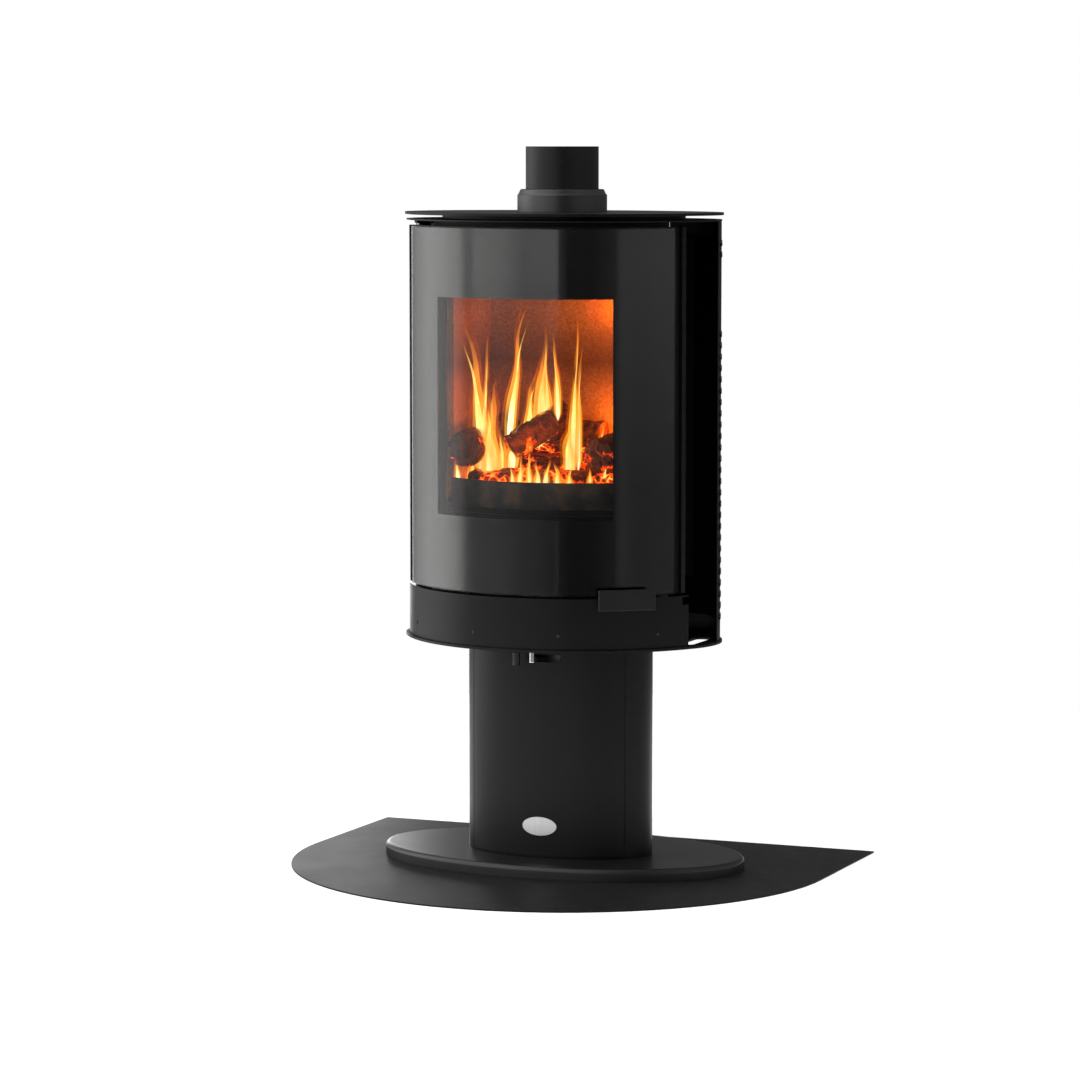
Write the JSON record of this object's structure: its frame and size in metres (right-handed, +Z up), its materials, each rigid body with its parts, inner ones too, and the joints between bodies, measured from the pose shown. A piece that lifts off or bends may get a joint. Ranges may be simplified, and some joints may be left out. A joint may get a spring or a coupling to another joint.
{
  "type": "wood burning stove",
  "caption": "Free-standing wood burning stove on an oval column, with a curved glass door, slotted casing, top flue and floor plate.",
  "frame": {"origin": "on the floor, on the vertical axis of the flue", "axes": "+Z up along the flue, -Y towards the door, +X to the right seen from the front"},
  "size_m": [1.05, 0.851, 1.378],
  "materials": {
    "floor_steel": "satin charcoal stove paint on sheet steel",
    "foot_casting": "fine-grained black stove paint on cast iron",
    "black_steel": "satin black stove paint",
    "casing_steel": "matt black stove paint",
    "door_steel": "matt black stove paint",
    "handle_steel": "satin black, heat resistant",
    "stove_steel": "heat-darkened steel",
    "flue_steel": "matt black stove paint",
    "flue_casting": "matt black stove paint",
    "zinc_steel": "zinc plated",
    "bright_steel": "brushed, blank",
    "galvanised_steel": "galvanised sheet",
    "dark_screw": "black oxide",
    "chrome_knob": "polished",
    "dark_knob": "satin black",
    "stove_glass": "glass-ceramic with a dark border behind it",
    "glass_rope": "braided glass-fibre rope",
    "vermiculite": "pressed fire-proof board, warm beige",
    "grate_iron": "rough, sooty",
    "firewood": "charred split logs"
  },
  "bodies": {
    "stove": {"air_box": "stove_steel", "air_wash_strip": "stove_steel", "ash_pan": "galvanised_steel", "ash_pan_runners": "stove_steel", "badge_plate": "bright_steel", "baffle_brackets": "stove_steel", "baffle_lower": "vermiculite", "baffle_upper": "vermiculite", "base_plate": "foot_casting", "body_supports": "stove_steel", "bottom_plate": "black_steel", "column_bolts": "zinc_steel", "cover_clips": "zinc_steel", "fire_shelf": "stove_steel", "firebox_front": "stove_steel", "firebox_shell": "stove_steel", "firewood": "firewood", "floor_plate": "floor_steel", "flue_collar": "flue_casting", "flue_pipe": "flue_steel", "flue_spigot": "flue_steel", "foot_bolts": "zinc_steel", "fresh_air_pipe": "galvanised_steel", "fresh_air_spigot": "galvanised_steel", "front_skirt": "black_steel", "grate": "grate_iron", "heat_shield": "galvanised_steel", "hinge_brackets": "stove_steel", "hinge_pins": "zinc_steel", "latch_catch": "stove_steel", "lining_back_lower": "vermiculite", "lining_back_upper": "vermiculite", "lining_floor": "vermiculite", "lining_left": "vermiculite", "lining_right": "vermiculite", "log_guard": "grate_iron", "pedestal_column": "black_steel", "pedestal_front_cover": "black_steel", "rear_panel": "casing_steel", "shield_spacers": "zinc_steel", "side_panel_left": "casing_steel", "side_panel_right": "casing_steel", "skirt_screws": "dark_screw", "top_cover": "black_steel", "top_plate": "black_steel", "top_spacer": "black_steel"},
    "door": {"door_frame": "door_steel", "door_glass": "stove_glass", "glass_gasket": "glass_rope", "door_seal": "glass_rope"},
    "handle": {"door_handle": "handle_steel", "handle_lever": "zinc_steel"},
    "primary_air": {"primary_air_lever": "zinc_steel", "primary_air_knob": "chrome_knob", "primary_damper": "stove_steel"},
    "start_air": {"start_air_lever": "zinc_steel", "start_air_knob": "dark_knob", "start_air_damper": "stove_steel"}
  },
  "joints": [
    {"name": "door_hinge", "type": "hinge", "parent": "stove", "child": "door", "pos_m": [-0.26184, -0.08131, 0.9], "axis": [0, 0, -1], "range_deg": [0, 105]},
    {"name": "handle_pivot", "type": "hinge", "parent": "door", "child": "handle", "pos_m": [0.21798, -0.12982, 0.545], "axis": [0, 0, 1], "range_deg": [0, 20]},
    {"name": "primary_air_slide", "type": "slide", "parent": "stove", "child": "primary_air", "axis": [1, 0, 0], "range_m": [-0.01, 0.038]},
    {"name": "start_air_slide", "type": "slide", "parent": "stove", "child": "start_air", "axis": [1, 0, 0], "range_m": [-0.035, 0]}
  ]
}
